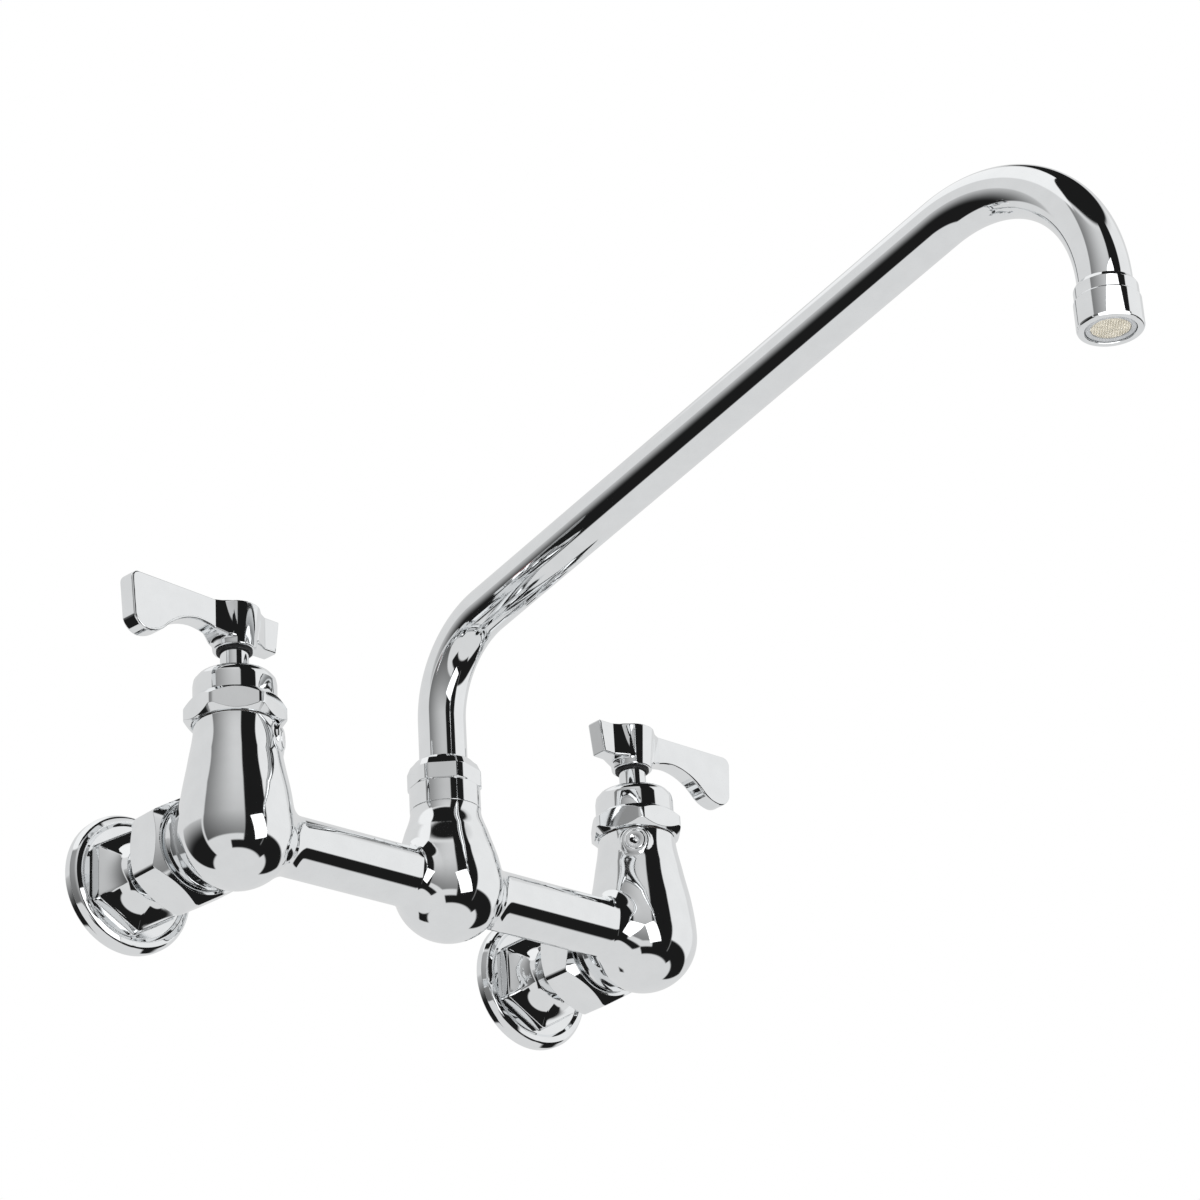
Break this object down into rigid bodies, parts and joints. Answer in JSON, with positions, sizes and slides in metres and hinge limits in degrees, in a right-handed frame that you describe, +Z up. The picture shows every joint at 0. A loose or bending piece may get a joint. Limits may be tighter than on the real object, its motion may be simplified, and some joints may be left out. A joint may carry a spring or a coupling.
{
  "type": "wall mounted mixing faucet",
  "caption": "Wall mounted restaurant kitchen faucet with two lever handles, a bridge casting and a rising swing spout with an aerator.",
  "frame": {"origin": "on the wall plane, midway between the two inlets", "axes": "+X along the bridge bar, +Y into the wall, -Y towards the spout outlet, +Z up"},
  "size_m": [0.3099, 0.4392, 0.1951],
  "materials": {
    "chrome_cast": "chrome plated brass casting, polished",
    "chrome_polished": "mirror polished chrome plate",
    "bare_brass": "machined",
    "steel": "stainless",
    "ceramic": "lapped alumina",
    "black_rubber": "moulded",
    "fibre": "pressed fibre",
    "grey_plastic": "moulded acetal",
    "hot_index": "moulded",
    "cold_index": "moulded"
  },
  "bodies": {
    "fixed": {"faucet_body": "chrome_cast", "spout_nut": "chrome_polished", "boss_plug_left": "chrome_cast", "boss_plug_right": "chrome_cast", "wall_flange_left": "chrome_polished", "wall_flange_right": "chrome_polished", "coupling_nut_left": "chrome_polished", "coupling_nut_right": "chrome_polished", "inlet_washer_left": "black_rubber", "inlet_washer_right": "black_rubber", "seat_seal_left": "black_rubber", "seat_seal_right": "black_rubber", "fixed_disc_left": "ceramic", "fixed_disc_right": "ceramic", "cartridge_sleeve_left": "bare_brass", "cartridge_sleeve_right": "bare_brass", "bonnet_gasket_left": "fibre", "bonnet_gasket_right": "fibre", "valve_bonnet_left": "chrome_polished", "valve_bonnet_right": "chrome_polished"},
    "spout": {"spout_tube": "chrome_polished", "spout_shank": "bare_brass", "spout_orings": "black_rubber", "spout_washer": "fibre", "aerator_housing": "chrome_polished", "aerator_insert": "grey_plastic", "aerator_screen": "steel", "aerator_washer": "black_rubber"},
    "lever_left": {"handle_left": "chrome_polished", "handle_screw_left": "steel", "index_button_left": "hot_index", "spindle_left": "bare_brass", "moving_disc_left": "ceramic", "spindle_clip_left": "steel", "spindle_oring_left": "black_rubber"},
    "lever_right": {"handle_right": "chrome_polished", "handle_screw_right": "steel", "index_button_right": "cold_index", "spindle_right": "bare_brass", "moving_disc_right": "ceramic", "spindle_clip_right": "steel", "spindle_oring_right": "black_rubber"}
  },
  "joints": [
    {"name": "spout_swivel", "type": "hinge", "parent": "fixed", "child": "spout", "pos_m": [0, -0.072, 0.04], "axis": [0, 0, 1], "range_deg": [-90, 90]},
    {"name": "hot_valve", "type": "hinge", "parent": "fixed", "child": "lever_left", "pos_m": [-0.1016, -0.072, 0.06], "axis": [0, 0, 1], "range_deg": [-5, 85]},
    {"name": "cold_valve", "type": "hinge", "parent": "fixed", "child": "lever_right", "pos_m": [0.1016, -0.072, 0.06], "axis": [0, 0, 1], "range_deg": [-90, 0]}
  ]
}
